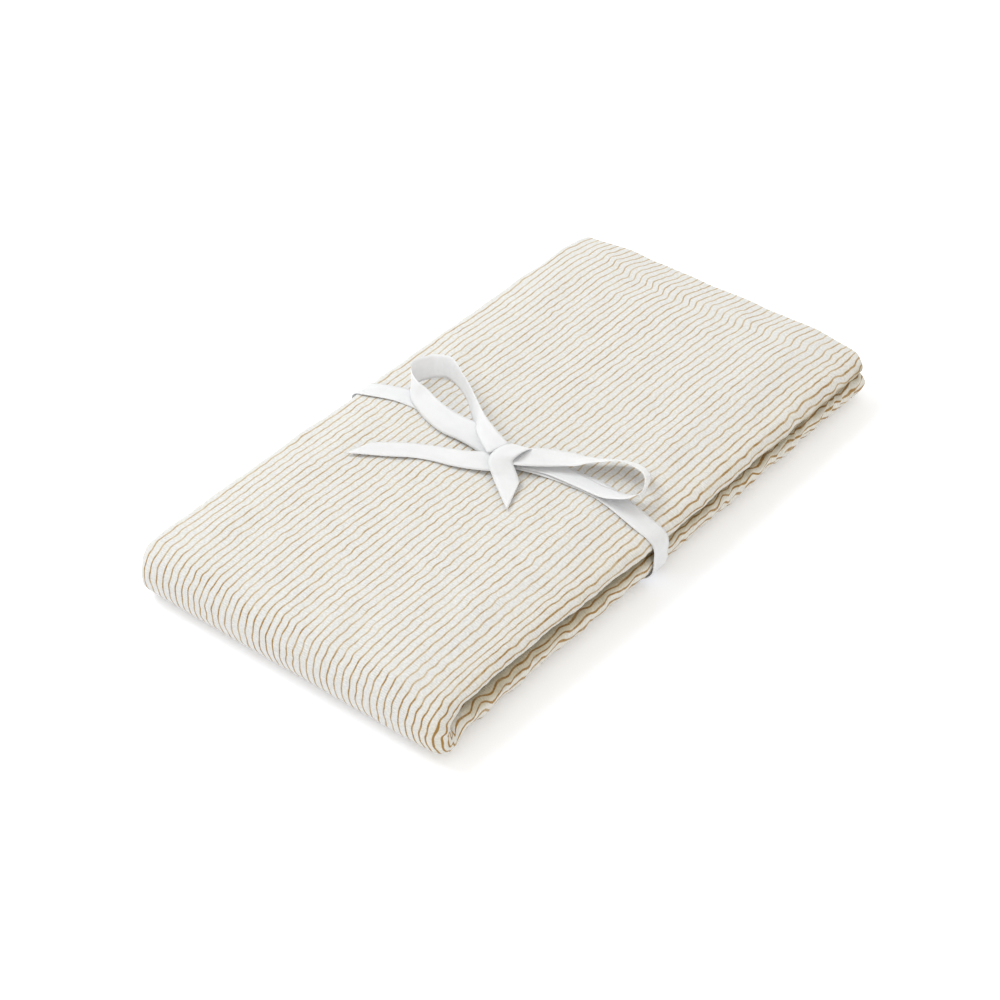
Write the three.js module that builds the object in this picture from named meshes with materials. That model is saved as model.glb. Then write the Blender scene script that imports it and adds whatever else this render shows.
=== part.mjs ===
// A striped muslin baby wrap, folded into a flat pack and tied round its middle with a ribbon bow.
// Millimetres, +Z up. X runs across the pack, Y along it, and the origin is under its centre.
// The cloth is one sheet. It is divided here where its folds are, so that each solid is a simple one.

import * as THREE from "three";

// ---- Driving dimensions ------------------------------------------------------------------

const PACK_WIDTH = 160;
const PACK_LENGTH = 300;
const PACK_HEIGHT = 28.6;
const EDGE_RADIUS = 7; // roundness of the long folded edges
const END_DEPTH = 20; // how much of each end belongs to its turned fold
const END_ROUND_DEPTH = 11; // how far the near end's turn bulges past its straight part
const FAR_ROUND_DEPTH = 6;
const HEM_SETBACK = 1.5; // the hemmed ends stop this short of the fold above them
const PILLOW_ROUNDING = 5; // softening of the sides of the end folds
const GAP = 0.3; // between solids that touch

const RIBBON_WIDTH = 10;
const RIBBON_THICKNESS = 0.6;
const RIBBON_Y = -10.6; // where the ribbon goes round the pack
const RIBBON_FLOOR_GAP = 0.1; // the ribbon's lower run hangs this far above the surface
const BOW_THICKNESS = 1;
const BOW_LIFT = 0.9; // the bow's loops stand on the ribbon's top run
const LEFT_LOOP_HEIGHT = 7.7;
const RIGHT_LOOP_HEIGHT = 6.2;
const KNOT_HEIGHT = 5;

// ---- Worked out from them ----------------------------------------------------------------

const RIBBON_FLOOR = RIBBON_FLOOR_GAP + RIBBON_THICKNESS + GAP; // the pack's underside over the ribbon
const MIDDLE_HEIGHT = (RIBBON_FLOOR + PACK_HEIGHT) / 2;
const LOWER_TOP = MIDDLE_HEIGHT - GAP / 2;
const UPPER_BOTTOM = MIDDLE_HEIGHT + GAP / 2;
const STACK_END = PACK_LENGTH / 2 - END_DEPTH;
const RIBBON_TOP_FLOOR = PACK_HEIGHT + GAP;
const BOW_FLOOR = RIBBON_TOP_FLOOR + BOW_LIFT;

// ---- Materials ---------------------------------------------------------------------------

const muslin = (color) => new THREE.MeshStandardMaterial({ color, roughness: 0.95, metalness: 0 });
const ribbonCloth = () => new THREE.MeshStandardMaterial({ color: 0xf3f3f5, roughness: 0.6, metalness: 0 });

// ---- Shape helpers -----------------------------------------------------------------------

const CURVE_SEGMENTS = 10;
const STRIP_STEPS = 18;

// A section drawn in X and Z, pushed along Y from yLow to yHigh.
function alongY(section, yLow, yHigh) {
  const depth = yHigh - yLow;
  const geometry = new THREE.ExtrudeGeometry(section, {
    depth,
    bevelEnabled: false,
    curveSegments: CURVE_SEGMENTS,
  });
  geometry.rotateX(Math.PI / 2);
  geometry.translate(0, yHigh, 0);
  return geometry;
}

// A profile drawn in Y and Z, pushed along X across the whole pack, with softened sides.
function acrossPack(profile) {
  const depth = PACK_WIDTH - 2 * PILLOW_ROUNDING;
  const geometry = new THREE.ExtrudeGeometry(profile, {
    depth,
    curveSegments: CURVE_SEGMENTS,
    bevelEnabled: true,
    bevelThickness: PILLOW_ROUNDING,
    bevelSize: PILLOW_ROUNDING / 2,
    bevelOffset: -PILLOW_ROUNDING / 2,
    bevelSegments: 4,
  });
  geometry.rotateX(Math.PI / 2);
  geometry.rotateZ(Math.PI / 2);
  geometry.translate(-depth / 2, 0, 0);
  return geometry;
}

// An outline drawn in X and Y, pushed upwards from zLow.
function upFrom(outline, zLow, height) {
  const geometry = new THREE.ExtrudeGeometry(outline, { depth: height, bevelEnabled: false });
  geometry.translate(0, 0, zLow);
  return geometry;
}

function rectangle(xLow, yLow, xHigh, yHigh) {
  const shape = new THREE.Shape();
  shape.moveTo(xLow, yLow);
  shape.lineTo(xHigh, yLow);
  shape.lineTo(xHigh, yHigh);
  shape.lineTo(xLow, yHigh);
  shape.closePath();
  return shape;
}

function polygon(points) {
  return new THREE.Shape(points.map(([x, y]) => new THREE.Vector2(x, y)));
}

// The outline of a thin strip that stands on its edge along a smooth line through the points.
function stripOutline(points, thickness) {
  const line = new THREE.CatmullRomCurve3(points.map(([x, y]) => new THREE.Vector3(x, y, 0)));
  const leftSide = [];
  const rightSide = [];
  for (let step = 0; step <= STRIP_STEPS; step += 1) {
    const place = line.getPointAt(step / STRIP_STEPS);
    const heading = line.getTangentAt(step / STRIP_STEPS);
    const sideways = new THREE.Vector2(-heading.y, heading.x).multiplyScalar(thickness / 2);
    leftSide.push(new THREE.Vector2(place.x + sideways.x, place.y + sideways.y));
    rightSide.push(new THREE.Vector2(place.x - sideways.x, place.y - sideways.y));
  }
  return new THREE.Shape([...rightSide, ...leftSide.reverse()]);
}

// ---- The folded cloth --------------------------------------------------------------------

// Half of the pack's thickness: a flat stack whose two long edges are round folds.
function stackSection(zLow, zHigh) {
  const halfHeight = (zHigh - zLow) / 2;
  const zMiddle = (zHigh + zLow) / 2;
  const xCentre = PACK_WIDTH / 2 - EDGE_RADIUS;
  const section = new THREE.Shape();
  section.moveTo(-xCentre, zLow);
  section.lineTo(xCentre, zLow);
  section.absellipse(xCentre, zMiddle, EDGE_RADIUS, halfHeight, -Math.PI / 2, Math.PI / 2, false);
  section.lineTo(-xCentre, zHigh);
  section.absellipse(-xCentre, zMiddle, EDGE_RADIUS, halfHeight, Math.PI / 2, (3 * Math.PI) / 2, false);
  return section;
}

// The near end, where the whole strip turns back under itself. It stands on the surface.
function nearFoldProfile() {
  const yInner = -STACK_END - GAP;
  const yStraight = -PACK_LENGTH / 2 + END_ROUND_DEPTH;
  const halfHeight = PACK_HEIGHT / 2;
  const profile = new THREE.Shape();
  profile.moveTo(yInner, 0);
  profile.lineTo(yInner, PACK_HEIGHT);
  profile.lineTo(yStraight, PACK_HEIGHT);
  profile.absellipse(yStraight, halfHeight, END_ROUND_DEPTH, halfHeight, Math.PI / 2, (3 * Math.PI) / 2, false);
  return profile;
}

// A far end of one half: its layers stop here, in a rounded edge.
function farEndProfile(zLow, zHigh, yEnd) {
  const yInner = STACK_END + GAP;
  const yStraight = yEnd - FAR_ROUND_DEPTH;
  const halfHeight = (zHigh - zLow) / 2;
  const profile = new THREE.Shape();
  profile.moveTo(yInner, zLow);
  profile.lineTo(yStraight, zLow);
  profile.absellipse(yStraight, zLow + halfHeight, FAR_ROUND_DEPTH, halfHeight, -Math.PI / 2, Math.PI / 2, false);
  profile.lineTo(yInner, zHigh);
  return profile;
}

// ---- The ribbon round the pack -----------------------------------------------------------

// One side of the ribbon: over the top edge, down the side and under the bottom edge.
function ribbonSideSection() {
  const xCentre = PACK_WIDTH / 2 - EDGE_RADIUS;
  const topCentre = PACK_HEIGHT - EDGE_RADIUS;
  const bottomCentre = RIBBON_FLOOR + EDGE_RADIUS;
  const inner = EDGE_RADIUS + GAP;
  const outer = inner + RIBBON_THICKNESS;
  const section = new THREE.Shape();
  section.moveTo(xCentre, topCentre + outer);
  section.absarc(xCentre, topCentre, outer, Math.PI / 2, 0, true);
  section.absarc(xCentre, bottomCentre, outer, 0, -Math.PI / 2, true);
  section.lineTo(xCentre, bottomCentre - inner);
  section.absarc(xCentre, bottomCentre, inner, -Math.PI / 2, 0, false);
  section.absarc(xCentre, topCentre, inner, 0, Math.PI / 2, false);
  return section;
}

function ribbonSide(side) {
  const geometry = alongY(ribbonSideSection(), -RIBBON_WIDTH / 2, RIBBON_WIDTH / 2);
  if (side < 0) geometry.rotateZ(Math.PI);
  geometry.translate(0, RIBBON_Y, 0);
  return geometry;
}

// A straight, flat run of the ribbon along X.
function ribbonRun(xLow, xHigh, zLow) {
  const outline = rectangle(xLow, RIBBON_Y - RIBBON_WIDTH / 2, xHigh, RIBBON_Y + RIBBON_WIDTH / 2);
  return upFrom(outline, zLow, RIBBON_THICKNESS);
}

// ---- The bow -----------------------------------------------------------------------------

const KNOT_X = [-6, 11];
const KNOT_Y = [-21.5, -8.5];
const SIDE_RUN_X = PACK_WIDTH / 2 - EDGE_RADIUS - GAP;

const loopArm = (points, height) => upFrom(stripOutline(points, BOW_THICKNESS), BOW_FLOOR, height);
const flatTail = (points) => upFrom(polygon(points), RIBBON_TOP_FLOOR, RIBBON_THICKNESS);

const LEFT_NEAR_ARM = [[-7.5, -17], [-20, -14], [-36, -11], [-50, -6], [-58, 0]];
const LEFT_FAR_ARM = [[-59.5, 2], [-62, 9], [-57, 16], [-47, 16], [-34, 8], [-20, -2], [-7.5, -11]];
const RIGHT_NEAR_ARM = [[12.5, -17.5], [26, -12], [42, -9], [54, -7], [61, -1]];
const RIGHT_FAR_ARM = [[12.5, -12], [24, -4], [36, 4], [48, 10], [57, 8], [61.5, 1.5]];
const LEFT_TAIL = [[-6.5, -18], [-26, -27], [-42, -36], [-50, -53], [-36, -43], [-17, -34], [-3, -24], [-6.5, -21]];
const FRONT_TAIL = [[1, -22], [12.5, -22], [18, -23], [25.5, -41], [15, -34], [5, -26]];

// ---- The parts ---------------------------------------------------------------------------

const parts = {
  upper_folded_stack: [alongY(stackSection(UPPER_BOTTOM, PACK_HEIGHT), -STACK_END, STACK_END), muslin(0xebe9e1)],
  lower_folded_stack: [alongY(stackSection(RIBBON_FLOOR, LOWER_TOP), -STACK_END, STACK_END), muslin(0xe0dccf)],
  near_end_fold: [acrossPack(nearFoldProfile()), muslin(0xe7e2d6)],
  upper_far_fold: [
    acrossPack(farEndProfile(UPPER_BOTTOM, PACK_HEIGHT, PACK_LENGTH / 2)),
    muslin(0xe4ddcc),
  ],
  lower_far_hems: [acrossPack(farEndProfile(0, LOWER_TOP, PACK_LENGTH / 2 - HEM_SETBACK)), muslin(0xd9d2c0)],

  ribbon_under_run: [ribbonRun(-SIDE_RUN_X, SIDE_RUN_X, RIBBON_FLOOR_GAP), ribbonCloth()],
  ribbon_left_side: [ribbonSide(-1), ribbonCloth()],
  ribbon_right_side: [ribbonSide(1), ribbonCloth()],
  ribbon_top_left_run: [ribbonRun(-SIDE_RUN_X, KNOT_X[0] - GAP, RIBBON_TOP_FLOOR), ribbonCloth()],
  ribbon_top_right_run: [ribbonRun(KNOT_X[1] + GAP, SIDE_RUN_X, RIBBON_TOP_FLOOR), ribbonCloth()],
  bow_knot: [
    upFrom(rectangle(KNOT_X[0], KNOT_Y[0], KNOT_X[1], KNOT_Y[1]), RIBBON_TOP_FLOOR, KNOT_HEIGHT),
    ribbonCloth(),
  ],
  left_loop_near_arm: [loopArm(LEFT_NEAR_ARM, LEFT_LOOP_HEIGHT), ribbonCloth()],
  left_loop_far_arm: [loopArm(LEFT_FAR_ARM, LEFT_LOOP_HEIGHT), ribbonCloth()],
  right_loop_near_arm: [loopArm(RIGHT_NEAR_ARM, RIGHT_LOOP_HEIGHT), ribbonCloth()],
  right_loop_far_arm: [loopArm(RIGHT_FAR_ARM, RIGHT_LOOP_HEIGHT), ribbonCloth()],
  left_tail: [flatTail(LEFT_TAIL), ribbonCloth()],
  front_tail: [flatTail(FRONT_TAIL), ribbonCloth()],
};

const wrapPack = new THREE.Group();
for (const [name, [geometry, material]] of Object.entries(parts)) {
  const mesh = new THREE.Mesh(geometry, material);
  mesh.name = name;
  wrapPack.add(mesh);
}

export default wrapPack;
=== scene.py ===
"""A striped crinkled-muslin baby wrap, folded into a flat pack and tied round its middle with a ribbon bow.

Metres, in the CAD model's frame: X across the pack, Y along it from the turned near end to the far end, Z up.
"""
import math

import bpy
import numpy as np
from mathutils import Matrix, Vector


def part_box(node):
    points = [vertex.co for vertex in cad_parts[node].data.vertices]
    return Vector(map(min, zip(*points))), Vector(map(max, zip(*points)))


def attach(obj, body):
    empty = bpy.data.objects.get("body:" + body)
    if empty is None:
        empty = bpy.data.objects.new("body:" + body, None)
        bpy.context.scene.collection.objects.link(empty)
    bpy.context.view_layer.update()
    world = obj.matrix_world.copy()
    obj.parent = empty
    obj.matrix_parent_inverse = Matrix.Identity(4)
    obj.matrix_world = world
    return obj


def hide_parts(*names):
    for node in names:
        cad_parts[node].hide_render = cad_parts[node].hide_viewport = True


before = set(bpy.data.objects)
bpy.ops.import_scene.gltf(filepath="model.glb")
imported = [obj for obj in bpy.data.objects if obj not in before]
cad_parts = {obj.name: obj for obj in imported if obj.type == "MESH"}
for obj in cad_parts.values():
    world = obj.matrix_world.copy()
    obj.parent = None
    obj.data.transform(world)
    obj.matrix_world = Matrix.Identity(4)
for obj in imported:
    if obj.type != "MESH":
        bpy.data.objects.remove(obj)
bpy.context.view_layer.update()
MM = 0.001


# ---- Camera ------------------------------------------------------------------------------------

CAMERA_AIM = Vector((-3.2, -9.5, 0.0)) * MM
CAMERA_AZIMUTH = math.radians(38.5)
CAMERA_ELEVATION = math.radians(39.0)
CAMERA_DISTANCE = 1.031
CAMERA_LENS = 87.9


def make_camera():
    data = bpy.data.cameras.new("camera")
    data.lens = CAMERA_LENS
    camera = bpy.data.objects.new("camera", data)
    level = math.cos(CAMERA_ELEVATION)
    back = Vector((
        math.sin(CAMERA_AZIMUTH) * level,
        -math.cos(CAMERA_AZIMUTH) * level,
        math.sin(CAMERA_ELEVATION),
    ))
    camera.location = CAMERA_AIM + back * CAMERA_DISTANCE
    camera.rotation_euler = (-back).to_track_quat("-Z", "Y").to_euler()
    bpy.context.collection.objects.link(camera)
    bpy.context.scene.camera = camera


make_camera()


# ---- Sizes, from the CAD model ------------------------------------------------------------------

UPPER_LOW, UPPER_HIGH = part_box("upper_folded_stack")
LOWER_LOW, LOWER_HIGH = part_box("lower_folded_stack")
NEAR_LOW, NEAR_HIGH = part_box("near_end_fold")
FAR_LOW, FAR_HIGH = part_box("upper_far_fold")
HEMS_LOW, HEMS_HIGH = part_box("lower_far_hems")

HALF_WIDTH = UPPER_HIGH.x
PACK_TOP = UPPER_HIGH.z
MIDDLE = NEAR_HIGH.z / 2
RIBBON_ROOM = LOWER_LOW.z  # the underside is this high where the ribbon passes


# ---- Smooth random fields -----------------------------------------------------------------------


class Waves:
    """A smooth random field: a sum of cosine waves with lengths between short and long."""

    def __init__(self, seed, short, long, axes=2, stretch=None, count=36):
        rng = np.random.default_rng(seed)
        ways = rng.normal(size=(count, axes))
        ways /= np.linalg.norm(ways, axis=1)[:, None]
        lengths = np.exp(rng.uniform(math.log(short), math.log(long), count))
        self.turns = 2 * math.pi * ways / lengths[:, None]
        if stretch is not None:
            self.turns /= np.asarray(stretch)
        self.phases = rng.uniform(0, 2 * math.pi, count)
        self.scale = math.sqrt(2 / count)

    def __call__(self, *axes):
        total = np.zeros(np.broadcast(*axes).shape)
        for turn, phase in zip(self.turns, self.phases):
            angle = phase
            for rate, axis in zip(turn, axes):
                angle = angle + rate * axis
            total += np.cos(angle)
        return total * self.scale


def ease(value, start, end):
    """0 before start, 1 after end, and smooth between them."""
    t = np.clip((value - start) / (end - start), 0, 1)
    return t * t * (3 - 2 * t)


def hump(value, middle, width):
    return np.exp(-(((value - middle) / width) ** 2))


# ---- The folded cloth ---------------------------------------------------------------------------
# One square sheet. It is folded once across its length, then three times in half across its width.
# The strip that makes, of 8 double layers, is turned back under itself at the near end.
# A point of the sheet has u, the distance across it, and s, the distance along it.

LAYER_OF_RUN = (7, 0, 3, 4, 5, 2, 1, 6)  # where each eighth of the width lies; 0 is the outermost
RUNS = len(LAYER_OF_RUN)
CRINKLE_ROOM = 0.55 * MM
MIDDLE_GAP = 0.3 * MM
LAYER_STEP = (MIDDLE - CRINKLE_ROOM - MIDDLE_GAP) / RUNS
PLY_OFFSET = LAYER_STEP / 4  # half the distance between a double layer's two plies
HEM_FOLD = 0.35 * MM
HEM_WIDTH = 8 * MM
TURN_X = HALF_WIDTH - CRINKLE_ROOM - (RUNS - 1) / 2 * LAYER_STEP - PLY_OFFSET
LEFT_INSETS = (1.8 * MM, 5.0 * MM, 2.8 * MM, 4.2 * MM, 1.4 * MM)  # of the left turns, from u = 0 on

NEAR_ROUND = 11.6 * MM  # how far the near turn bulges
NEAR_CENTRE_Y = NEAR_LOW.y + CRINKLE_ROOM + NEAR_ROUND
UPPER_END_Y = FAR_HIGH.y - 0.8 * MM
LOWER_END_Y = HEMS_HIGH.y - 0.8 * MM
UPPER_LENGTH = UPPER_END_Y - NEAR_CENTRE_Y
TURN_LENGTH = math.pi * (NEAR_ROUND + MIDDLE) / 2
LOWER_LENGTH = LOWER_END_Y - NEAR_CENTRE_Y
STRIP_LENGTH = UPPER_LENGTH + TURN_LENGTH + LOWER_LENGTH

FINE = 1.4 * MM
COARSE_STEPS = 9


def graded(length, fine_start, fine_end, fine=2 * MM):
    """Stops from 0 to length, close together near its ends and far apart between them."""
    start = np.linspace(0, fine_start, max(1, round(fine_start / fine)) + 1)
    end = length - np.linspace(fine_end, 0, max(1, round(fine_end / fine)) + 1)
    middle = np.linspace(fine_start, length - fine_end, COARSE_STEPS)
    return np.unique(np.concatenate((start, middle, end)).round(7))


class WidthPath:
    """The sheet's width, folded: a line of x and height (from the pack's middle plane) along u."""

    def __init__(self):
        self.line = []
        self.stops = []
        self.length = 0.0
        heights = [MIDDLE_GAP + (RUNS - 0.5 - layer) * LAYER_STEP for layer in LAYER_OF_RUN]
        left = [inset - HALF_WIDTH for inset in LEFT_INSETS]
        self.run(left[0] + HEM_WIDTH, left[0], heights[0] - HEM_FOLD, HEM_WIDTH, 0)
        self.turn(left[0], heights[0] - HEM_FOLD, heights[0], -1, 4)
        for pair in range(RUNS // 2):
            out, back = 2 * pair, 2 * pair + 1
            outer = pair == 0
            self.run(left[pair], TURN_X, heights[out], 8 * MM, 12 * MM if outer else 0)
            if outer:
                self.outer_start = self.length
            self.turn(TURN_X, heights[out], heights[back], 1, 18 if outer else 7)
            self.run(TURN_X, left[pair + 1], heights[back], 0, 8 * MM, outer)
            if outer:
                self.outer_end = self.length
            if pair < RUNS // 2 - 1:
                self.turn(left[pair + 1], heights[back], heights[back + 1], -1, 9 if outer else 5)
        self.turn(left[-1], heights[-1], heights[-1] - HEM_FOLD, -1, 4)
        self.run(left[-1], left[-1] + HEM_WIDTH, heights[-1] - HEM_FOLD, 0, HEM_WIDTH)
        line = np.array(self.line)
        self.u, self.x, self.height = line[:, 0], line[:, 1], line[:, 2]
        self.stops = np.unique(np.array(self.stops).round(7))

    def run(self, x_from, x_to, height, fine_start, fine_end, all_fine=False):
        length = abs(x_to - x_from)
        self.line += [(self.length, x_from, height), (self.length + length, x_to, height)]
        stops = graded(length, fine_start, fine_end)
        if all_fine:
            stops = np.linspace(0, length, round(length / FINE) + 1)
        self.stops += list(self.length + stops)
        self.length += length

    def turn(self, x, height_from, height_to, side, steps):
        centre = (height_from + height_to) / 2
        radius = (height_from - height_to) / 2
        length = math.pi * abs(radius)
        for angle in np.linspace(0, math.pi, 25):
            along = self.length + length * angle / math.pi
            place = x + side * abs(radius) * math.sin(angle)
            self.line.append((along, place, centre + radius * math.cos(angle)))
        self.stops += list(self.length + np.linspace(0, length, steps + 1))
        self.length += length

    def at(self, u):
        """x, height and the unit normal there. The normal points outwards on the outermost run."""
        reach = 0.35 * MM
        before = np.clip(u - reach, 0, self.length)
        after = np.clip(u + reach, 0, self.length)
        along_x = np.interp(after, self.u, self.x) - np.interp(before, self.u, self.x)
        along_h = np.interp(after, self.u, self.height) - np.interp(before, self.u, self.height)
        size = np.hypot(along_x, along_h)
        x = np.interp(u, self.u, self.x)
        height = np.interp(u, self.u, self.height)
        return x, height, along_h / size, -along_x / size


def length_rows():
    """The sheet's length, folded: for each row v along the strip, the ply (1 outer, -1 inner),
    how far the row bulges past the strip's end, and s."""
    rows = []
    outer_v = np.linspace(STRIP_LENGTH, 0, round(STRIP_LENGTH / FINE) + 1)
    inner_v = np.concatenate((
        graded(UPPER_LENGTH, 45 * MM, 4 * MM, 2.5 * MM),
        UPPER_LENGTH + np.linspace(0, TURN_LENGTH, 13)[1:],
        UPPER_LENGTH + TURN_LENGTH + graded(LOWER_LENGTH, 4 * MM, 12 * MM, 3 * MM)[1:],
    ))
    hem_v = np.linspace(STRIP_LENGTH - HEM_WIDTH, STRIP_LENGTH, 4)
    hem_ply = 0.25
    for v in hem_v:
        rows.append((v, hem_ply, 0.0))
    for angle in np.linspace(0, math.pi, 6)[1:-1]:
        mid, half = (1 + hem_ply) / 2, (1 - hem_ply) / 2
        rows.append((STRIP_LENGTH, mid - half * math.cos(angle), half * PLY_OFFSET * math.sin(angle)))
    for v in outer_v:
        rows.append((v, 1.0, 0.0))
    for angle in np.linspace(0, math.pi, 8)[1:-1]:
        rows.append((0.0, math.cos(angle), PLY_OFFSET * math.sin(angle)))
    for v in inner_v:
        rows.append((v, -1.0, 0.0))
    for angle in np.linspace(0, math.pi, 6)[1:-1]:
        mid, half = (1 + hem_ply) / 2, (1 - hem_ply) / 2
        rows.append((STRIP_LENGTH, -mid - half * math.cos(angle), half * PLY_OFFSET * math.sin(angle)))
    for v in hem_v[::-1]:
        rows.append((v, -hem_ply, 0.0))
    v, ply, bulge = np.array(rows).T
    moved = np.hypot(np.diff(v), np.diff(ply) * PLY_OFFSET)
    s = np.concatenate(([0.0], np.cumsum(moved)))
    return v, ply, bulge, s


def strip_place(v, height, bulge):
    """y and z of a point at v along the strip and this height from the pack's middle plane."""
    turned = np.clip((v - UPPER_LENGTH) / TURN_LENGTH, 0, 1) * math.pi
    below = v > UPPER_LENGTH + TURN_LENGTH
    along = np.where(below, v - UPPER_LENGTH - TURN_LENGTH, np.maximum(UPPER_LENGTH - v, 0))
    fullness = np.where(turned > math.pi / 2, 0.72, 1.0)  # the turn sags, so it is fuller at the bottom
    reach = np.maximum(np.sin(turned), 0) ** fullness
    y = NEAR_CENTRE_Y + along + bulge - reach * height * NEAR_ROUND / MIDDLE
    z = MIDDLE + np.cos(turned) * height
    return y, z


# ---- How the crinkled cloth gives ---------------------------------------------------------------

CREASE_Y = FAR_LOW.y - 3.8 * MM  # a shallow crease runs across the top near the far end
CREASE_BOW = 6 * MM
CORNER = 15 * MM
FLOOR_CONTACT = 0.03 * MM
THREAD = 0.3 * MM


def crease_distance(x, y):
    return y - (CREASE_Y + CREASE_BOW * (x / (0.7 * HALF_WIDTH)) ** 2)


def outer_fold(path):
    return path.outer_start + math.pi * (RUNS - 1) * LAYER_STEP / 4


def rolls(path, u):
    """1 where the outermost layer bends round the right side, and 0 on the flat."""
    return hump(u, outer_fold(path), 11 * MM)


def stripe_slide(path, u, v):
    """How far the crinkled cloth, and its stripes with it, is pushed sideways along its own surface."""
    x = np.interp(u, path.u, path.x)
    y, _ = strip_place(v, MIDDLE, 0.0)
    long_wander = Waves(11, 40 * MM, 110 * MM)
    wiggle = Waves(12, 5.5 * MM, 12 * MM, stretch=(2.0, 1.0))
    zigzag = Waves(13, 8 * MM, 12 * MM, stretch=(3.0, 1.0))
    roll = rolls(path, u)
    upper = v < UPPER_LENGTH
    far = ease(y, 0.2 * FAR_HIGH.y, 0.9 * FAR_HIGH.y)
    slide = 0.3 * MM * long_wander(u, v) + 0.15 * MM * wiggle(u, v)
    slide += roll * np.where(upper, 0.1 + 0.4 * far, 0.65) * MM * zigzag(u, v)
    off = crease_distance(x, y)
    strength = ease(x, -HALF_WIDTH, -0.6 * HALF_WIDTH) * (1 - 0.5 * ease(x, 0.2 * HALF_WIDTH, HALF_WIDTH))
    shove = ease(off, -16 * MM, -3 * MM) * (1 - ease(off, -3 * MM, 3.5 * MM))
    shove += 0.9 * ease(off, 4 * MM, 22 * MM)
    slide += upper * strength * (-1.7 * MM) * shove
    pinch = hump(v, UPPER_LENGTH + 0.75 * TURN_LENGTH, 14 * MM) * hump(u, path.outer_start, 8 * MM)
    slide += 1.3 * MM * pinch * np.sin(2 * math.pi * v / (9 * MM))
    edges = 6 * MM
    inside = ease(u, 0, edges) * (1 - ease(u, path.length - edges, path.length))
    return inside * slide


def puckers(path, u, v):
    """How far the outermost layer stands in or out from its even shape."""
    crepe = Waves(21, 3.2 * MM, 7 * MM, stretch=(1.5, 1.0), count=48)
    pillow = Waves(22, 8 * MM, 20 * MM, stretch=(1.6, 1.0))
    roll = rolls(path, u)
    return (0.05 + 0.04 * roll) * MM * crepe(u, v) + (0.06 + 0.12 * roll) * MM * pillow(u, v)


def round_corners(x, y, z):
    """The pack's corners are soft, more so at the top than at the floor."""
    softness = 0.25 + 0.75 * np.clip(z / PACK_TOP, 0, 1)
    for x_side, y_side, amount in ((1, 1, 0.8), (-1, 1, 0.45), (1, -1, 0.6), (-1, -1, 0.9)):
        reach = CORNER * amount * softness
        to_side = np.clip(1 - (HALF_WIDTH - x_side * x) / reach, 0, 1)
        end_y = FAR_HIGH.y if y_side > 0 else -NEAR_LOW.y
        to_end = np.clip(1 - (end_y - y_side * y) / reach, 0, 1)
        x = x - x_side * reach * to_side * (1 - np.sqrt(1 - to_end**2 / 2))
        y = y - y_side * reach * to_end * (1 - np.sqrt(1 - to_side**2 / 2))
    return x, y


def settle_sides(x, z):
    """The pack is thinner towards its sides: its top falls and its underside rises."""
    top_drop = 4.4 * MM * ease(x, HALF_WIDTH - 34 * MM, HALF_WIDTH + 4 * MM)
    top_drop += 3.0 * MM * ease(-x, HALF_WIDTH - 24 * MM, HALF_WIDTH + 2 * MM)
    under_rise = 1.2 * MM * ease(x, HALF_WIDTH - 22 * MM, HALF_WIDTH + 2 * MM)
    under_rise += 1.0 * MM * ease(-x, HALF_WIDTH - 16 * MM, HALF_WIDTH)
    above = np.clip(z / MIDDLE - 1, 0, 1)
    below = np.clip(1 - z / MIDDLE, 0, 1)
    return z - top_drop * above + under_rise * below


def near_weight(y):
    """1 over most of the near half, fading out at the middle and at the near turn."""
    near = 1 - ease(y, 0.6 * NEAR_LOW.y, 0.1 * NEAR_LOW.y)
    return near * ease(y, NEAR_LOW.y + 3 * MM, NEAR_LOW.y + 18 * MM)


def shape_notch(x, y, z):
    """The upper and lower rolls are flat where they face each other, with a gap between them.
    The upper roll is the thinner one, most of all towards the near end."""
    from_middle = np.abs(z / MIDDLE - 1)
    where = ease(y, NEAR_LOW.y + 8 * MM, NEAR_LOW.y + 22 * MM)
    flatter = where * ease(x, HALF_WIDTH - 26 * MM, HALF_WIDTH - 9 * MM)
    far = ease(y, 0.2 * FAR_HIGH.y, 0.8 * FAR_HIGH.y)
    gap = (0.12 - 0.05 * far) * where * ease(x, HALF_WIDTH - 18 * MM, HALF_WIDTH - 5 * MM)
    raised = 0.22 - 0.12 * far + 0.14 * near_weight(y)
    raised = raised * where * ease(x, HALF_WIDTH - 26 * MM, HALF_WIDTH - 6 * MM)
    shaped = from_middle + flatter * (from_middle**1.7 - from_middle)
    return MIDDLE * (1 + np.sign(z - MIDDLE) * (gap + (1 - gap) * shaped) + raised * (1 - shaped))


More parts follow.
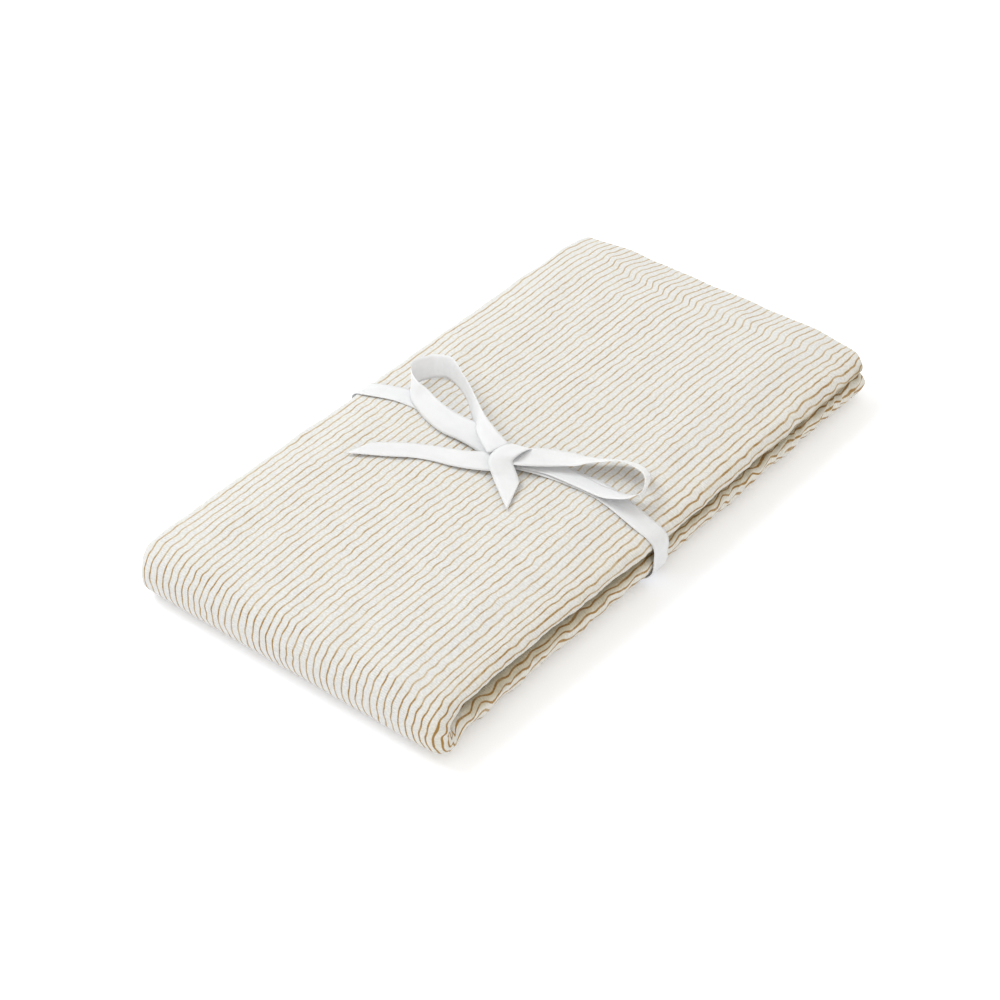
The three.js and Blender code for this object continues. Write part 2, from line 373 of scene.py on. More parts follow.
def relax(x, y, z):
    """All the layers shift together, as crinkled cloth lies: never flat, straight or square."""
    lift = Waves(31, 16 * MM, 60 * MM)
    sway = Waves(32, 14 * MM, 45 * MM, stretch=(1.0, 0.6))
    depth = z / PACK_TOP
    off = crease_distance(x, y)
    right = ease(x, HALF_WIDTH - 16 * MM, HALF_WIDTH - 2 * MM)
    left = ease(-x, HALF_WIDTH - 16 * MM, HALF_WIDTH - 2 * MM)
    lower = 1 - ease(z, MIDDLE - 3 * MM, MIDDLE + 3 * MM)
    far = ease(y, -0.3 * FAR_HIGH.y, 0.95 * FAR_HIGH.y)
    near = near_weight(y)

    above = np.clip(z / MIDDLE - 1, 0, 1)
    rise = 0.16 * MM * depth * lift(x, y) + 0.3 * MM * above
    rise += depth * (-0.5 * MM * hump(off, -1.5 * MM, 4 * MM) + 0.2 * MM * hump(off, 6 * MM, 5 * MM))
    rise -= 4.2 * MM * above * ease(y, FAR_HIGH.y - 24 * MM, FAR_HIGH.y + 3 * MM)
    rise -= 2.0 * MM * above * ease(-y, -NEAR_LOW.y - 42 * MM, -NEAR_LOW.y)
    slant = (y - 1.3 * z) / (10.5 * MM) + 0.22 * sway(y, z)
    scallop = np.sin(2 * math.pi * slant)
    side = 0.2 * MM * sway(y, z) - 0.2 * MM + (0.1 + 0.5 * far) * MM * lower * (scallop - 0.6)
    side -= lower * 0.6 * MM * near + (1 - lower) * (0.3 * far + 2.6 * near) * MM
    in_notch = 1 - ease(np.abs(z / MIDDLE - 1), 0.05, 0.5)
    side -= 2.2 * MM * ease(y, FAR_HIGH.y - 30 * MM, FAR_HIGH.y) * in_notch
    pushed = right * side - left * (0.2 * MM + 0.25 * MM * sway(y + 1, z))
    end = ease(y, FAR_HIGH.y - 12 * MM, FAR_HIGH.y) * (0.2 * MM * sway(x, z) - 0.2 * MM)

    return x + pushed, y + end, settle_sides(x, shape_notch(x, y, z) + rise)


def make_room_below(y, z):
    """The underside stands clear of the floor where the ribbon slides, and lies on it at both ends."""
    slope = 4 * MM
    clear = ease(y, LOWER_LOW.y - slope, LOWER_LOW.y) * (1 - ease(y, LOWER_HIGH.y, LOWER_HIGH.y + slope))
    lift = clear * (RIBBON_ROOM - 1.6 * CRINKLE_ROOM) - (1 - clear) * 1.3 * CRINKLE_ROOM
    raised = z + np.clip(1 - z / MIDDLE, 0, 1) * lift
    return np.maximum(raised, FLOOR_CONTACT + THREAD * ease(y, LOWER_HIGH.y, LOWER_HIGH.y + slope))


def fold_cloth():
    """Grid of points of the folded sheet (rows along s, columns along u), with u, s and the outer fold's u."""
    path = WidthPath()
    v, ply, bulge, s = length_rows()
    u_grid, v_grid = np.meshgrid(path.stops, v)
    x, height, normal_x, normal_h = path.at(u_grid + stripe_slide(path, u_grid, v_grid))
    outermost = ease(u_grid, path.outer_start - 6 * MM, path.outer_start) * (
        1 - ease(u_grid, path.outer_end, path.outer_end + 6 * MM)
    )
    outside = (0.25 + 0.75 * outermost) * (ply[:, None] > 0)
    offset = ply[:, None] * PLY_OFFSET + outside * puckers(path, u_grid, v_grid)
    x = x + offset * normal_x
    height = height + offset * normal_h
    y, z = strip_place(v_grid, height, bulge[:, None])
    x, y = round_corners(x, y, z)
    x, y, z = relax(x, y, z)
    return np.stack((x, y, make_room_below(y, z)), axis=-1), path.stops, s, outer_fold(path)


def make_cloth_mesh(points, u, s):
    rows, columns = points.shape[:2]
    mesh = bpy.data.meshes.new("wrap_cloth")
    index = np.arange(rows * columns).reshape(rows, columns)
    quads = np.stack((index[:-1, :-1], index[:-1, 1:], index[1:, 1:], index[1:, :-1]), axis=-1).reshape(-1, 4)
    mesh.vertices.add(rows * columns)
    mesh.vertices.foreach_set("co", points.reshape(-1).astype(np.float32))
    mesh.loops.add(quads.size)
    mesh.loops.foreach_set("vertex_index", quads.reshape(-1).astype(np.int32))
    mesh.polygons.add(len(quads))
    mesh.polygons.foreach_set("loop_start", np.arange(0, quads.size, 4, dtype=np.int32))
    mesh.update(calc_edges=True)
    flat = np.stack(np.broadcast_arrays(u[None, :], s[:, None]), axis=-1).reshape(-1, 2)
    uv = mesh.uv_layers.new(name="flat_cloth")
    uv.data.foreach_set("uv", flat[quads.reshape(-1)].reshape(-1).astype(np.float32))
    mesh.polygons.foreach_set("use_smooth", np.ones(len(quads), dtype=bool))
    mesh.validate()
    return mesh


# ---- Materials ----------------------------------------------------------------------------------


def node_maker(material):
    """A function that adds a node: i0, i1, ... are input sockets by number, and the others by name."""
    material.use_nodes = True
    tree = material.node_tree
    tree.nodes.clear()

    def add(kind, settings=None, **inputs):
        node = tree.nodes.new(kind)
        for key, value in (settings or {}).items():
            setattr(node, key, value)
        for key, value in inputs.items():
            by_number = key[0] == "i" and key[1:].isdigit()
            socket = node.inputs[int(key[1:])] if by_number else node.inputs[key.replace("_", " ")]
            if isinstance(value, bpy.types.NodeSocket):
                tree.links.new(value, socket)
            else:
                socket.default_value = value
        return node

    return add


def maths(add, operation, a, b=0.0, c=0.0):
    return add("ShaderNodeMath", {"operation": operation}, i0=a, i1=b, i2=c).outputs[0]


def noise(add, where, scale, detail=2.0, roughness=0.5):
    kind = {"noise_dimensions": "3D"}
    return add(
        "ShaderNodeTexNoise", kind, Vector=where, Scale=scale, Detail=detail, Roughness=roughness
    ).outputs[0]


def fit(add, value, low, high, to_low=0.0, to_high=1.0, smooth=False):
    kind = {"interpolation_type": "SMOOTHSTEP" if smooth else "LINEAR"}
    return add(
        "ShaderNodeMapRange", kind, Value=value, From_Min=low, From_Max=high, To_Min=to_low, To_Max=to_high
    ).outputs[0]


def blend(add, amount, first, second, mode="MIX"):
    node = add("ShaderNodeMix", {"data_type": "RGBA", "blend_type": mode})
    for socket, value in ((node.inputs[0], amount), (node.inputs[6], first), (node.inputs[7], second)):
        if isinstance(value, bpy.types.NodeSocket):
            node.id_data.links.new(value, socket)
        else:
            socket.default_value = value
    return node.outputs[2]


def stretched(add, where, across, along):
    kind = {"operation": "MULTIPLY"}
    return add("ShaderNodeVectorMath", kind, i0=where, i1=(across, along, 1.0)).outputs[0]


STRIPE_PITCH = 3.5 * MM
STRIPE_WIDTH = 0.7 * MM
YARN = 0.42 * MM
TICK = 1.05 * MM  # between the crosswise yarns that stand proud

MUSLIN_WHITE = (0.695, 0.70, 0.712, 1)
MUSLIN_CREAM = (0.695, 0.665, 0.58, 1)
NOTCH_SHADE_TINT = (0.70, 0.65, 0.54, 1)  # painted shade: darkens and warms the cloth in the notch between the upper and lower rolls
STRIPE_TAN = (0.49, 0.335, 0.155, 1)
STRIPE_BROWN = (0.33, 0.185, 0.05, 1)


def muslin_material(fold_u):
    """Thin crinkled cotton with lengthwise stripes, and a crosswise yarn that shows here and there.
    Round the outermost fold, at fold_u, the stripes are drawn wider; there they are also stronger and browner
    and the ground warmer, full on the lower roll and half on the upper: painted shade of the rolled side. The
    notch between the rolls gets painted shade too."""
    material = bpy.data.materials.new("striped_muslin")
    add = node_maker(material)
    flat = add("ShaderNodeUVMap", {"uv_map": "flat_cloth"}).outputs[0]
    split = add("ShaderNodeSeparateXYZ", Vector=flat)
    u, s = split.outputs[0], split.outputs[1]

    ragged = noise(add, stretched(add, flat, 1400, 700), 1.0)
    ragged = maths(add, "MULTIPLY_ADD", ragged, 0.22 * MM, -0.11 * MM)
    phase = maths(add, "DIVIDE", maths(add, "ADD", u, ragged), STRIPE_PITCH)
    number = maths(add, "ROUND", phase)
    from_middle = maths(add, "MULTIPLY", maths(add, "PINGPONG", phase, 0.5), STRIPE_PITCH)
    each = add("ShaderNodeTexWhiteNoise", {"noise_dimensions": "1D"}, W=number).outputs[0]
    worn = noise(add, stretched(add, flat, 60, 160), 1.0, detail=4)
    from_fold = maths(add, "ABSOLUTE", maths(add, "SUBTRACT", u, fold_u))
    split_place = add("ShaderNodeSeparateXYZ", Vector=add("ShaderNodeTexCoord").outputs["Object"])
    x, y, z = split_place.outputs[0], split_place.outputs[1], split_place.outputs[2]
    # Closeness to the outermost fold. It widens the stripes there and paints shade on the rolled side:
    # stronger, browner stripes and a warmer ground, full on the lower roll and half on the upper.
    fold_shade_and_spread = fit(add, from_fold, 5 * MM, 24 * MM, 1, 0, smooth=True)
    fold_shade_and_spread = maths(add, "MULTIPLY", fold_shade_and_spread, fit(add, z, MIDDLE, MIDDLE + 8 * MM, 1, 0.5, smooth=True))
    at_turn = fit(add, y, NEAR_LOW.y + 3 * MM, NEAR_LOW.y + 15 * MM, 1, 0, smooth=True)
    # Painted shade in the notch between the upper and lower rolls on the right side: below the top, past the
    # near turn, near the side.
    notch_shade = fit(add, z, MIDDLE - 3 * MM, MIDDLE + 0.5 * MM, smooth=True)
    below_top = fit(add, z, MIDDLE + 4 * MM, MIDDLE + 6 * MM, 1, 0, smooth=True)
    past_turn = fit(add, y, NEAR_LOW.y + 12 * MM, NEAR_LOW.y + 24 * MM, smooth=True)
    at_side = fit(add, x, HALF_WIDTH - 32 * MM, HALF_WIDTH - 20 * MM, smooth=True)
    for limit in (below_top, past_turn, at_side):
        notch_shade = maths(add, "MULTIPLY", notch_shade, limit)
    narrowed = maths(add, "MULTIPLY", from_middle, fit(add, fold_shade_and_spread, 0, 1, 1.0, 0.72))
    core = fit(add, narrowed, STRIPE_WIDTH * 0.28, STRIPE_WIDTH * 0.72, 1, 0, smooth=True)
    glow = fit(add, from_middle, 0, STRIPE_PITCH * 0.36, 1, 0, smooth=True)
    strength = maths(add, "MULTIPLY", fit(add, worn, 0.3, 0.6, 0.74, 1.0), fit(add, each, 0, 1, 0.85, 1.0))
    # Painted shade: the stripes are stronger round the outermost fold.
    strength = maths(add, "MULTIPLY", strength, fit(add, fold_shade_and_spread, 0, 1, 0.92, 1.3))
    strength = maths(add, "MULTIPLY", strength, fit(add, at_turn, 0, 1, 1.0, 1.25))
    slub = fit(add, noise(add, stretched(add, flat, 900, 1500), 1.0, detail=1), 0.3, 0.62, 0.72, 1.0)
    stripe = maths(add, "MULTIPLY", maths(add, "MULTIPLY", core, strength), slub)

    speck = noise(add, stretched(add, flat, 900, 900), 1.0, detail=3)
    mottle = noise(add, stretched(add, flat, 210, 260), 1.0, detail=3)
    ticks = maths(add, "SINE", maths(add, "MULTIPLY", s, 2 * math.pi / TICK))
    tick_here = fit(add, noise(add, stretched(add, flat, 330, 120), 1.0, detail=2), 0.42, 0.62)
    tick = maths(add, "MULTIPLY", ticks, tick_here)
    warm = maths(add, "MULTIPLY_ADD", glow, 0.55, fit(add, mottle, 0.35, 0.7, 0.0, 0.35))
    # Painted shade: the ground is warmer round the outermost fold. The glow and mottle terms are the cloth's
    # own tint.
    warm = maths(add, "MULTIPLY_ADD", fold_shade_and_spread, 0.5, warm)
    ground = blend(add, warm, MUSLIN_WHITE, MUSLIN_CREAM)
    shade = maths(add, "MULTIPLY_ADD", tick, 0.07, fit(add, speck, 0.3, 0.7, 0.89, 1.08))
    ground = blend(add, 1.0, ground, shade, "MULTIPLY")
    # Painted shade: the stripe dye is browner round the outermost fold. The worn term is the dye's own wear.
    darker = maths(add, "MULTIPLY_ADD", fold_shade_and_spread, 0.7, fit(add, worn, 0.35, 0.75))
    darker = maths(add, "MULTIPLY_ADD", at_turn, 0.45, darker)
    dye = blend(add, maths(add, "MINIMUM", darker, 1.0), STRIPE_TAN, STRIPE_BROWN)
    colour = blend(add, maths(add, "MINIMUM", stripe, 1.0), ground, dye)
    # Multiply the painted notch shade into the colour.
    colour = blend(add, notch_shade, colour, NOTCH_SHADE_TINT, "MULTIPLY")

    weave_u = maths(add, "SINE", maths(add, "MULTIPLY", u, 2 * math.pi / YARN))
    weave_s = maths(add, "SINE", maths(add, "MULTIPLY", s, 2 * math.pi / YARN))
    weave = maths(add, "MULTIPLY", weave_u, weave_s)
    crepe = noise(add, stretched(add, flat, 420, 560), 1.0, detail=3, roughness=0.6)
    relief = maths(add, "MULTIPLY_ADD", crepe, 0.30, maths(add, "MULTIPLY", tick, 0.05))
    relief = maths(add, "MULTIPLY_ADD", weave, 0.018, relief)
    bump = add("ShaderNodeBump", Strength=0.75, Distance=1.0 * MM, Height=relief)
    shader = add("ShaderNodeBsdfPrincipled", Base_Color=colour, Normal=bump.outputs[0])
    shader.inputs["Roughness"].default_value = 0.92
    shader.inputs["Sheen Weight"].default_value = 0.15
    shader.inputs["Sheen Roughness"].default_value = 0.5
    shader.inputs["Specular IOR Level"].default_value = 0.25
    add("ShaderNodeOutputMaterial", Surface=shader.outputs[0])
    return material


def make_cloth():
    points, u, s, fold_u = fold_cloth()
    mesh = make_cloth_mesh(points, u, s)
    cloth = bpy.data.objects.new("wrap_cloth", mesh)
    bpy.context.collection.objects.link(cloth)
    mesh.materials.append(muslin_material(fold_u))
    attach(cloth, "wrap")
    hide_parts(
        "upper_folded_stack", "lower_folded_stack", "near_end_fold", "upper_far_fold", "lower_far_hems"
    )
    return cloth, points


# ---- The hem's stitches -------------------------------------------------------------------------

STITCH = 2.3 * MM
STITCH_STEP = 3.1 * MM
STITCH_ROW = HEM_WIDTH - 1.5 * MM
STITCH_SIDES = 8


def thread_material():
    material = bpy.data.materials.new("cotton_thread")
    add = node_maker(material)
    place = add("ShaderNodeTexCoord").outputs["Object"]
    ply = noise(add, stretched(add, place, 2500, 900), 1.0, detail=2)
    colour = blend(add, ply, (0.60, 0.58, 0.53, 1), (0.72, 0.71, 0.68, 1))
    bump = add("ShaderNodeBump", Strength=0.5, Distance=0.2 * MM, Height=ply)
    shader = add("ShaderNodeBsdfPrincipled", Base_Color=colour, Normal=bump.outputs[0])
    shader.inputs["Roughness"].default_value = 0.8
    shader.inputs["Sheen Weight"].default_value = 0.2
    add("ShaderNodeOutputMaterial", Surface=shader.outputs[0])
    return material


def make_hem_stitches(points):
    """A row of short running stitches on the underside, along the outermost layer's hem."""
    under = (points[..., 2] < MIDDLE / 2) & (np.abs(points[..., 0]) < HALF_WIDTH - 12 * MM)
    row_y = HEMS_HIGH.y - STITCH_ROW
    low = np.where(under, np.abs(points[..., 1] - row_y) + 4 * points[..., 2], np.inf)
    row = np.argmin(np.sort(low, axis=1)[:, :20].sum(axis=1))
    line = points[row][under[row]]
    line = line[line[:, 2] < 1.5 * MM]
    line = line[np.argsort(line[:, 0])]
    vertices, faces = [], []
    for start in np.arange(line[0, 0], line[-1, 0] - STITCH, STITCH_STEP):
        base = len(vertices)
        for part in np.linspace(0, 1, 7):
            x = start + STITCH * part
            thick = THREAD / 2 * math.sqrt(max(0.04, 1 - (2 * part - 1) ** 4))
            y = np.interp(x, line[:, 0], line[:, 1])
            z = np.interp(x, line[:, 0], line[:, 2]) + THREAD * (0.6 * (2 * part - 1) ** 4 - 0.35)
            for side in range(STITCH_SIDES):
                turn = 2 * math.pi * side / STITCH_SIDES
                vertices.append((x, y + thick * math.cos(turn), max(z + thick * math.sin(turn), 0.0)))
        for ring in range(6):
            for side in range(STITCH_SIDES):
                here, there = base + ring * STITCH_SIDES, (side + 1) % STITCH_SIDES
                beyond = here + STITCH_SIDES
                faces.append((here + side, beyond + side, beyond + there, here + there))
        faces.append([base + side for side in range(STITCH_SIDES)])
        faces.append([base + 6 * STITCH_SIDES + side for side in reversed(range(STITCH_SIDES))])
    mesh = bpy.data.meshes.new("hem_stitches")
    mesh.from_pydata(vertices, [], faces)
    mesh.polygons.foreach_set("use_smooth", np.ones(len(mesh.polygons), dtype=bool))
    stitches = bpy.data.objects.new("hem_stitches", mesh)
    bpy.context.collection.objects.link(stitches)
    mesh.materials.append(thread_material())
    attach(stitches, "wrap")


cloth, cloth_points = make_cloth()
make_hem_stitches(cloth_points)


# ---- The ribbon ---------------------------------------------------------------------------------
# Each strip is a list of its two edges, in millimetres from the middle of the knot's underside.

KNOT_LOW, KNOT_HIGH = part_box("bow_knot")
SIDE_LOW, SIDE_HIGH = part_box("ribbon_right_side")
KNOT_PLACE = np.array(((KNOT_LOW.x + KNOT_HIGH.x) / 2, (KNOT_LOW.y + KNOT_HIGH.y) / 2, KNOT_LOW.z))
RIBBON_WIDTH = round(SIDE_HIGH.y - SIDE_LOW.y, 4)
RIBBON_THICK = 0.2 * MM
BOW_DROP = 0.25 * MM  # how far the bow sinks onto the cloth
STEPS_BETWEEN = 8
STEPS_ACROSS = 8

LEFT_LOOP = (
    ((-4.5, -5.5, 1.2), (-1.4, 3.9, 2.6)),
    ((-11.0, -3.3, 0.6), (-9.4, 5.4, 5.0)),
    ((-20.8, -2.3, 0.4), (-19.3, 5.7, 6.1)),
    ((-31.3, -2.5, 0.4), (-30.5, 5.7, 6.3)),
    ((-41.5, 0.0, 0.4), (-39.7, 6.7, 7.5)),
    ((-50.3, 3.8, 0.4), (-47.6, 8.7, 8.7)),
    ((-55.0, 6.7, 0.4), (-53.3, 9.3, 9.8)),
    ((-59.0, 11.0, 0.4), (-58.3, 11.8, 10.3)),
    ((-61.0, 15.5, 0.4), (-62.5, 16.0, 10.2)),
    ((-60.3, 19.7, 0.4), (-64.0, 20.8, 9.5)),
    ((-58.4, 23.4, 0.4), (-63.3, 26.7, 8.5)),
    ((-56.5, 26.2, 0.4), (-60.7, 30.6, 8.4)),
    ((-52.7, 28.3, 0.4), (-53.3, 31.5, 9.8)),
    ((-47.5, 27.4, 0.5), (-47.1, 28.4, 10.4)),
    ((-41.3, 24.2, 1.0), (-41.3, 24.4, 11.0)),
    ((-33.6, 18.9, 1.7), (-33.5, 19.7, 11.3)),
    ((-23.0, 9.1, 3.2), (-22.5, 11.9, 11.6)),
    ((-13.6, 0.3, 5.1), (-13.4, 7.0, 9.9)),
    ((-3.5, -5.5, 4.2), (2.2, 2.8, 5.6)),
)
RIGHT_LOOP = (
    ((-2.0, 5.0, 3.4), (4.0, -2.6, 3.2)),
    ((3.0, 3.3, 4.1), (9.0, -4.5, 3.8)),
    ((9.1, 6.7, 5.5), (14.8, -1.2, 3.7)),
    ((13.9, 10.5, 5.4), (20.5, 3.5, 3.4)),
    ((19.2, 14.0, 4.7), (25.5, 7.0, 3.9)),
    ((24.1, 17.3, 3.9), (30.3, 9.6, 4.7)),
    ((28.4, 19.9, 2.5), (34.4, 13.0, 6.1)),
    ((33.4, 22.9, 2.1), (38.5, 15.9, 6.9)),
    ((39.8, 27.2, 1.7), (44.9, 20.8, 7.3)),
    ((47.7, 29.6, 2.1), (51.9, 21.9, 6.6)),
    ((54.1, 27.7, 2.3), (56.6, 20.2, 6.9)),
    ((57.0, 25.3, 2.1), (59.6, 17.2, 7.1)),
    ((58.4, 21.9, 1.4), (61.1, 14.6, 6.4)),
    ((59.5, 17.0, 0.8), (62.1, 11.3, 6.1)),
    ((56.9, 13.0, 0.7), (61.5, 7.2, 6.1)),
    ((54.0, 11.8, 0.6), (58.9, 4.6, 5.0)),
    ((49.3, 11.2, 0.5), (54.2, 3.0, 3.7)),
    ((42.2, 10.5, 0.5), (48.1, 2.5, 1.9)),
    ((31.3, 11.0, 0.6), (36.6, 2.8, 1.0)),
    ((19.4, 10.9, 0.7), (24.1, 2.1, 0.9)),
    ((12.4, 9.2, 0.9), (17.8, 0.8, 0.9)),
    ((4.0, 6.0, 1.2), (9.0, -2.5, 1.2)),
)
LEFT_TAIL = (
    ((1.5, 1.0, 2.6), (8.0, -7.0, 2.0)),
    ((-3.5, -3.0, 3.6), (3.5, -10.6, 1.4)),
    ((-12.6, -8.4, 2.8), (-5.4, -14.6, 0.6)),
    ((-19.7, -10.1, 1.8), (-13.5, -17.7, 0.4)),
    ((-28.4, -12.8, 0.8), (-22.0, -20.2, 0.4)),
    ((-36.2, -16.4, 0.5), (-29.8, -23.8, 0.4)),
    ((-43.0, -21.0, 0.4), (-38.0, -29.3, 0.4)),
    ((-49.0, -25.8, 0.4), (-52.5, -38.0, 0.4)),
)
KNOT_AND_FRONT_TAIL = (
    ((1.5, 6.5, 0.3), (10.5, 8.0, 0.3)),
    ((1.3, 6.4, 3.2), (10.5, 8.2, 3.2)),
    ((0.9, 4.0, 5.6), (10.2, 6.0, 5.8)),
    ((-0.3, -0.5, 6.3), (9.5, 2.0, 6.6)),
    ((-1.0, -6.0, 5.6), (8.8, -1.5, 6.1)),
    ((0.4, -10.0, 4.1), (8.4, -3.8, 4.4)),
    ((3.5, -12.3, 2.3), (11.5, -5.8, 2.7)),
    ((7.2, -14.7, 1.0), (14.9, -8.2, 1.4)),
    ((22.9, -26.0, 0.4), (16.0, -8.8, 1.2)),
)


def smooth_line(points, steps, even=True):
    """Points along a smooth curve through the given ones. If they aren't evenly spaced, say so."""
    points = np.asarray(points, dtype=float)
    padded = np.concatenate((2 * points[:1] - points[1:2], points, 2 * points[-1:] - points[-2:-1]))
    line = []
    for i in range(len(points) - 1):
        a, b, c, d = padded[i : i + 4]
        gaps = (1, 1, 1) if even else [np.linalg.norm(end - start) for start, end in ((a, b), (b, c), (c, d))]
        leaving = ((b - a) * gaps[1] ** 2 / gaps[0] + (c - b) * gaps[0]) / (gaps[0] + gaps[1])
        arriving = ((c - b) * gaps[2] + (d - c) * gaps[1] ** 2 / gaps[2]) / (gaps[1] + gaps[2])
        for t in np.linspace(0, 1, steps, endpoint=False):
            rest = 1 - t
            line.append((1 + 2 * t) * rest**2 * b + t * rest**2 * leaving
                        + (3 - 2 * t) * t**2 * c - t**2 * rest * arriving)
    return np.array(line + [points[-1]])


def edges_of(stations):
    """A strip's two smooth edges, in metres."""
    stations = np.array(stations) * MM + KNOT_PLACE - (0, 0, BOW_DROP)
    return smooth_line(stations[:, 0], STEPS_BETWEEN), smooth_line(stations[:, 1], STEPS_BETWEEN)


def band_edges():
    """The run round the pack: from the knot over the right side, underneath, and back up the left."""
    centre_y = (SIDE_LOW.y + SIDE_HIGH.y) / 2
    right = SIDE_HIGH.x - RIBBON_THICK / 2 - 0.5 * MM
    left = 0.35 * MM - right
    top = SIDE_HIGH.z - RIBBON_THICK / 2 - 0.85 * MM
    low = SIDE_LOW.z + RIBBON_THICK / 2
    knot_x, knot_y = KNOT_PLACE[0], KNOT_PLACE[1]
    route = [
        (knot_x + 4 * MM, knot_y, top + 1.2 * MM),
        (18 * MM, -10.5 * MM, top + 0.4 * MM),
        (30 * MM, -7.9 * MM, top),
        (46 * MM, -7.2 * MM, top + 0.1 * MM),
        (60 * MM, -8.8 * MM, top + 0.2 * MM),
    ]
    corners = ((right, top, 7.5 * MM), (right, low, 10 * MM), (left, low, 5 * MM), (left, top, 5 * MM))
    for number, (side, height, bend) in enumerate(corners):
        if number == 2:
            route += [(x * MM, centre_y, low) for x in (45, 15, -15, -45)]
        for turn in np.linspace(0, math.pi / 2, 5):
            out, drop = math.sin(turn), math.cos(turn)
            if number % 2 == 1:
                out, drop = drop, out
            x = side - math.copysign(bend * (1 - out), side)
            z = height - math.copysign(bend * (1 - drop), height - MIDDLE)
            route.append((x, centre_y, z))
        if number % 2 == 0:
            route.append((side, centre_y, MIDDLE))
    route += [
        (-63 * MM, -8.2 * MM, top),
        (-50 * MM, -6.4 * MM, top),
        (-30 * MM, -8.0 * MM, top),
        (-14 * MM, -12.0 * MM, top + 0.3 * MM),
        (knot_x - 4 * MM, knot_y, top + 1.2 * MM),
    ]
    line = smooth_line(route, STEPS_BETWEEN, even=False)
    line[:, 2] = settle_sides(line[:, 0], line[:, 2])
    along = np.gradient(line, axis=0)
    along /= np.linalg.norm(along, axis=1)[:, None]
    sideways = np.array((0, 1, 0)) - along * along[:, 1:2]
    sideways /= np.linalg.norm(sideways, axis=1)[:, None]
    return line - sideways * RIBBON_WIDTH / 2, line + sideways * RIBBON_WIDTH / 2


def add_strip(first, second, points, faces, flats):
    """A thin closed strip between two edges, a little thinner at its very edges."""
    rows = len(first)
    across = np.linspace(0, 1, STEPS_ACROSS + 1)
    surface = first[:, None] * (1 - across[:, None]) + second[:, None] * across[:, None]
    middle = (first + second) / 2
    along = np.gradient(middle, axis=0)
    normal = np.cross(along, second - first)
    normal /= np.linalg.norm(normal, axis=1)[:, None]
    length = np.concatenate(([0], np.cumsum(np.linalg.norm(np.diff(middle, axis=0), axis=1))))
    thin = 1 - 0.35 * (np.abs(2 * across - 1) > 0.99)
    half = normal[:, None] * (thin * RIBBON_THICK / 2)[:, None]
    start = sum(len(block) for block in points)
    ring = np.concatenate((surface + half, (surface - half)[:, ::-1]), axis=1)
    size = ring.shape[1]
    width = np.concatenate((across, across[::-1])) * RIBBON_WIDTH
    points.append(ring.reshape(-1, 3))
    flats.append(np.stack(np.broadcast_arrays(width[None], length[:, None]), axis=-1).reshape(-1, 2))
    index = start + np.arange(rows * size).reshape(rows, size)
    after = np.roll(index, -1, axis=1)
    faces += np.stack((index[:-1], after[:-1], after[1:], index[1:]), axis=-1).reshape(-1, 4).tolist()
    for row, flip in ((index[0], True), (index[-1], False)):
        for i in range(STEPS_ACROSS):
            face = [row[i], row[i + 1], row[size - 2 - i], row[size - 1 - i]]
            faces.append(face[::-1] if flip else face)


RIBBON_RIB = 0.55 * MM


def ribbon_material():
    """White ribbon with fine crosswise ribs and a soft sheen."""
    material = bpy.data.materials.new("white_ribbon")
    add = node_maker(material)
    flat = add("ShaderNodeUVMap", {"uv_map": "flat_ribbon"}).outputs[0]
    split = add("ShaderNodeSeparateXYZ", Vector=flat)
    width, length = split.outputs[0], split.outputs[1]
    ribs = maths(add, "SINE", maths(add, "MULTIPLY", length, 2 * math.pi / RIBBON_RIB))
    yarns = maths(add, "SINE", maths(add, "MULTIPLY", width, 2 * math.pi / (0.35 * MM)))
    to_edge = maths(add, "PINGPONG", width, RIBBON_WIDTH / 2)
    border = fit(add, to_edge, 0.35 * MM, 0.75 * MM, 1, 0, smooth=True)
    cloud = noise(add, stretched(add, flat, 300, 120), 1.0, detail=3)
    fibre = noise(add, stretched(add, flat, 900, 2600), 1.0, detail=2)
    tone = maths(add, "MULTIPLY_ADD", ribs, 0.012, fit(add, cloud, 0.3, 0.7, 0.965, 1.01))
    tone = maths(add, "MULTIPLY_ADD", border, -0.02, tone)
    colour = blend(add, 1.0, (0.77, 0.78, 0.805, 1), tone, "MULTIPLY")
    relief = maths(add, "MULTIPLY_ADD", ribs, 0.030, maths(add, "MULTIPLY", fibre, 0.05))
    relief = maths(add, "MULTIPLY_ADD", yarns, 0.008, relief)
    relief = maths(add, "MULTIPLY_ADD", border, 0.06, relief)
    bump = add("ShaderNodeBump", Strength=0.5, Distance=1.0 * MM, Height=relief)
    shader = add("ShaderNodeBsdfPrincipled", Base_Color=colour, Normal=bump.outputs[0])
    shader.inputs["Roughness"].default_value = 0.55
    shader.inputs["Sheen Weight"].default_value = 0.25
    shader.inputs["Sheen Roughness"].default_value = 0.4
    shader.inputs["Specular IOR Level"].default_value = 0.35
    shader.inputs["Subsurface Weight"].default_value = 0.5
    shader.inputs["Subsurface Radius"].default_value = (1, 1, 1)
    shader.inputs["Subsurface Scale"].default_value = 0.6 * MM
    add("ShaderNodeOutputMaterial", Surface=shader.outputs[0])
    return material


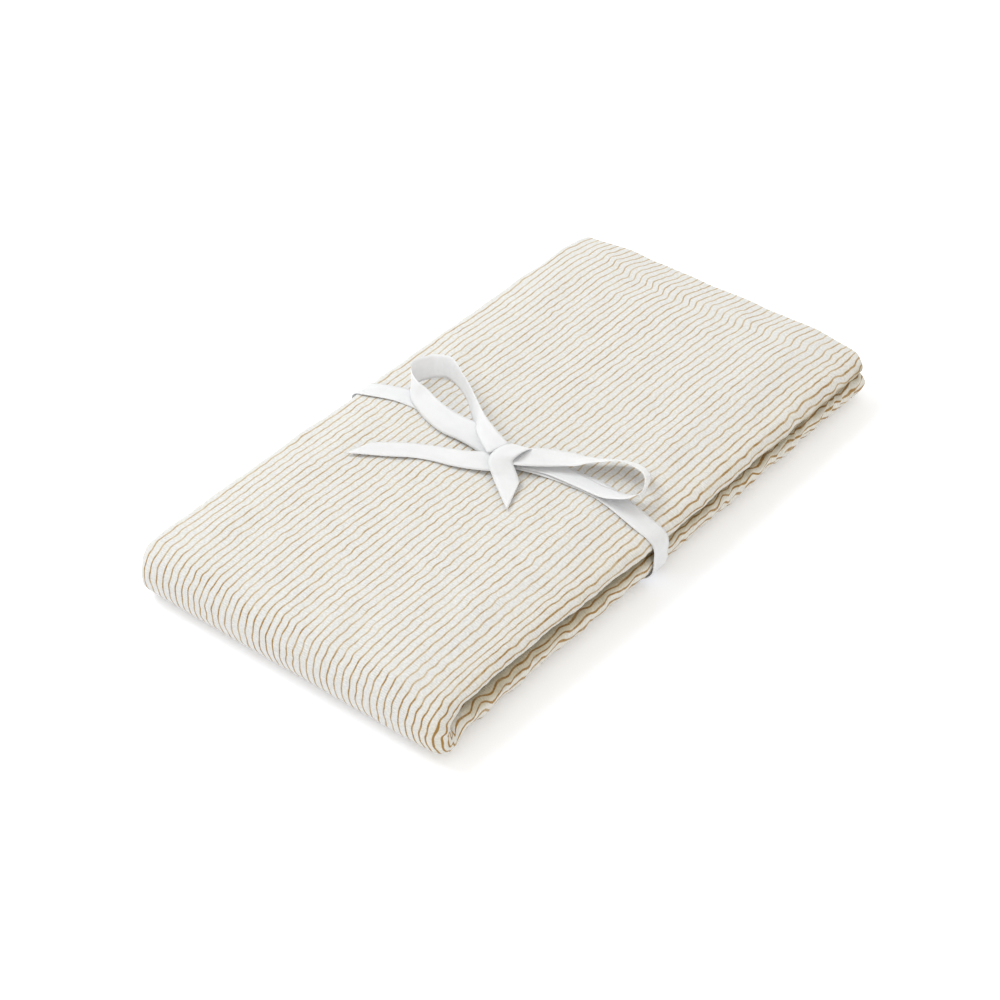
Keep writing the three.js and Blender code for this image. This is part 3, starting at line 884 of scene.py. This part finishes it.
def make_ribbon():
    points, faces, flats = [], [], []
    add_strip(*band_edges(), points, faces, flats)
    for stations in (LEFT_LOOP, RIGHT_LOOP, LEFT_TAIL, KNOT_AND_FRONT_TAIL):
        add_strip(*edges_of(stations), points, faces, flats)
    mesh = bpy.data.meshes.new("tied_ribbon")
    mesh.from_pydata(np.concatenate(points).tolist(), [], faces)
    corners = np.empty(len(mesh.loops), dtype=np.int32)
    mesh.loops.foreach_get("vertex_index", corners)
    uv = mesh.uv_layers.new(name="flat_ribbon")
    uv.data.foreach_set("uv", np.concatenate(flats)[corners].reshape(-1).astype(np.float32))
    mesh.polygons.foreach_set("use_smooth", np.ones(len(mesh.polygons), dtype=bool))
    mesh.validate()
    ribbon = bpy.data.objects.new("tied_ribbon", mesh)
    bpy.context.collection.objects.link(ribbon)
    mesh.materials.append(ribbon_material())
    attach(ribbon, "ribbon")
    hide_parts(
        "ribbon_under_run", "ribbon_left_side", "ribbon_right_side",
        "ribbon_top_left_run", "ribbon_top_right_run", "bow_knot",
        "left_loop_near_arm", "left_loop_far_arm", "right_loop_near_arm", "right_loop_far_arm",
        "left_tail", "front_tail",
    )


make_ribbon()


# ---- Floor and light ----------------------------------------------------------------------------


def make_stage():
    bpy.ops.mesh.primitive_plane_add(size=12, location=(0, 0, 0))
    floor = bpy.context.object
    floor.name = "floor"
    material = bpy.data.materials.new("floor_paper")
    add = node_maker(material)
    shader = add("ShaderNodeBsdfPrincipled", Base_Color=(0.90, 0.92, 0.96, 1), Roughness=0.9)
    shader.inputs["Emission Color"].default_value = (1, 1, 1, 1)
    shader.inputs["Emission Strength"].default_value = 0.19
    add("ShaderNodeOutputMaterial", Surface=shader.outputs[0])
    floor.data.materials.append(material)


def add_area_light(name, location, aim, size, power, colour):
    data = bpy.data.lights.new(name, "AREA")
    data.shape = "DISK"
    data.size = size
    data.energy = power
    data.color = colour
    lamp = bpy.data.objects.new(name, data)
    lamp.location = location
    lamp.rotation_euler = (Vector(aim) - Vector(location)).to_track_quat("-Z", "Y").to_euler()
    bpy.context.collection.objects.link(lamp)


def make_lights():
    world = bpy.data.worlds.new("white_room")
    world.use_nodes = True
    world.node_tree.nodes["Background"].inputs["Color"].default_value = (1, 0.975, 0.925, 1)
    world.node_tree.nodes["Background"].inputs["Strength"].default_value = 0.95
    bpy.context.scene.world = world
    add_area_light("key_light", (-1.05, -0.2, 1.35), (0, 0, 0), 1.0, 12.5, (0.91, 0.97, 1.0))
    bpy.context.scene.view_settings.view_transform = "Standard"


make_stage()
make_lights()
